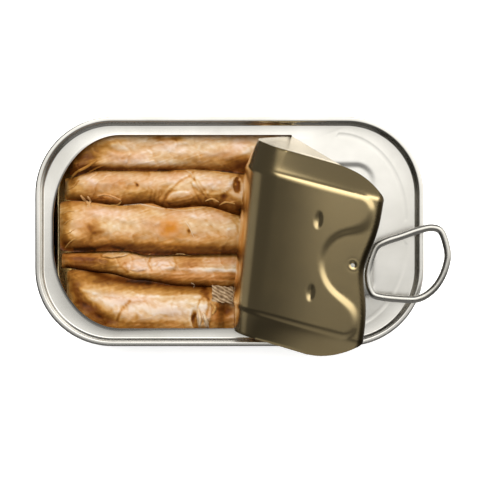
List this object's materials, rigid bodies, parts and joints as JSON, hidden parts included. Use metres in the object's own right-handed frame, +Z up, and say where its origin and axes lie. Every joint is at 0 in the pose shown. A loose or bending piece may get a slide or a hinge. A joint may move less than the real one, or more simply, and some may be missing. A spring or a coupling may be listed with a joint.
{
  "type": "opened tin of mackerel",
  "caption": "Shallow rounded rectangular tin of mackerel fillets with its ring-pull lid peeled back into a curl.",
  "frame": {"origin": "centre of the can's flat base", "axes": "+X along the tin towards the side the ring hangs over, +Y across the tin, +Z up out of the open tin"},
  "size_m": [0.1107, 0.0635, 0.0468],
  "materials": {
    "can_tinplate": "bright satin tinplate",
    "lid_tinplate": "bright satin tinplate outside, clear gold lacquer on the face that was inside",
    "ring_steel": "smooth stamped steel",
    "mackerel_flesh": null,
    "mackerel_skin": null
  },
  "bodies": {
    "root": {"can_body": "can_tinplate", "lid": "lid_tinplate", "ring_pull": "ring_steel", "fillet_back": "mackerel_flesh", "fillet_second": "mackerel_flesh", "fillet_middle": "mackerel_flesh", "fillet_thin": "mackerel_flesh", "fillet_front": "mackerel_flesh", "skin_scrap": "mackerel_skin"}
  },
  "joints": []
}
